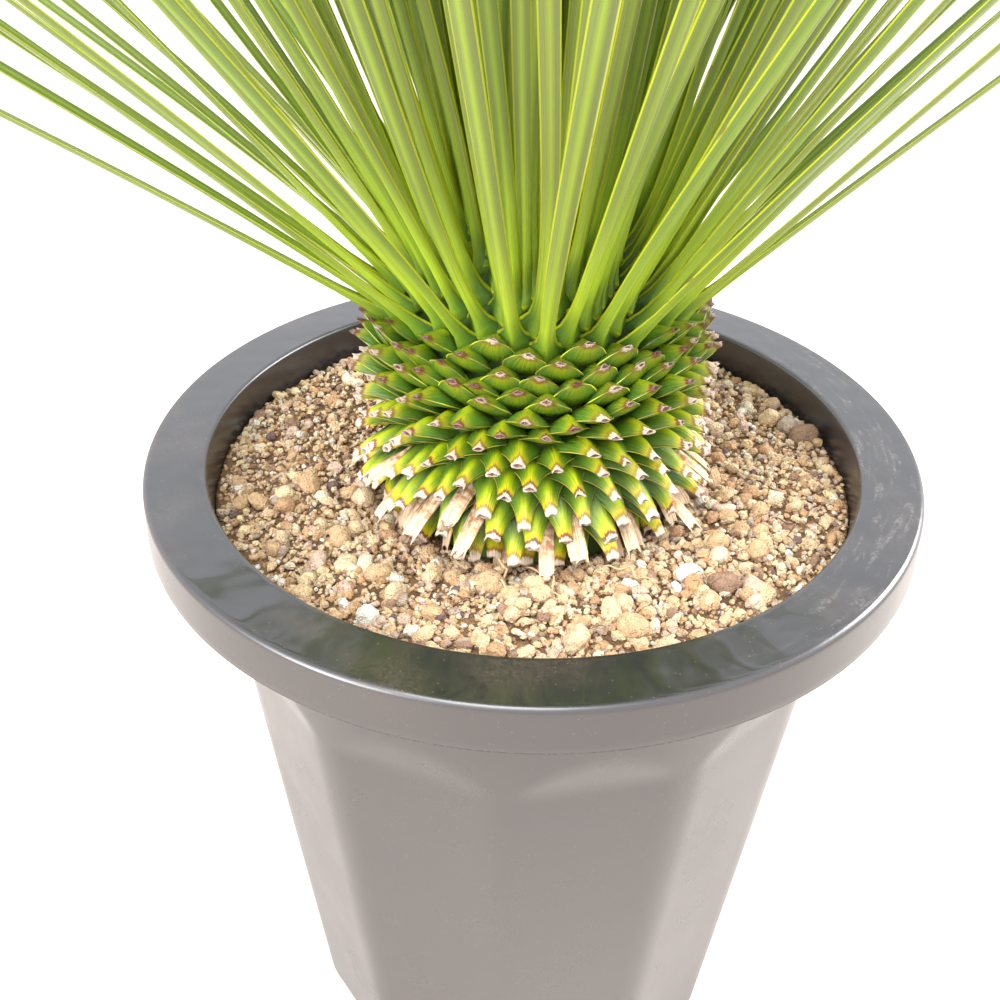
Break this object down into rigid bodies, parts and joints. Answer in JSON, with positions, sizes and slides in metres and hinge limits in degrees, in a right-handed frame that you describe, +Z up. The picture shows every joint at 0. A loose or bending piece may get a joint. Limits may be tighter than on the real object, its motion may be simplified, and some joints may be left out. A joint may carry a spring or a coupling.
{
  "type": "potted yucca",
  "caption": "Yucca with a crown of narrow stiff leaves on a short trunk of trimmed leaf bases, in gravelly soil in a deep panelled nursery pot.",
  "frame": {"origin": "centre of the pot's underside", "axes": "+Z up along the trunk, -Y towards the viewer, +X to the viewer's right"},
  "size_m": [0.7908, 0.7783, 0.8488],
  "materials": {
    "pot_plastic": "black, semi-gloss, dusty",
    "gravel_soil": "rough tan and white grains",
    "leaf_bases": "satin green with tan cut ends",
    "leaves": "satin grey-green with yellow margins"
  },
  "bodies": {
    "root": {"pot": "pot_plastic", "soil": "gravel_soil", "trunk": "leaf_bases", "leaf_crown": "leaves"}
  },
  "joints": []
}
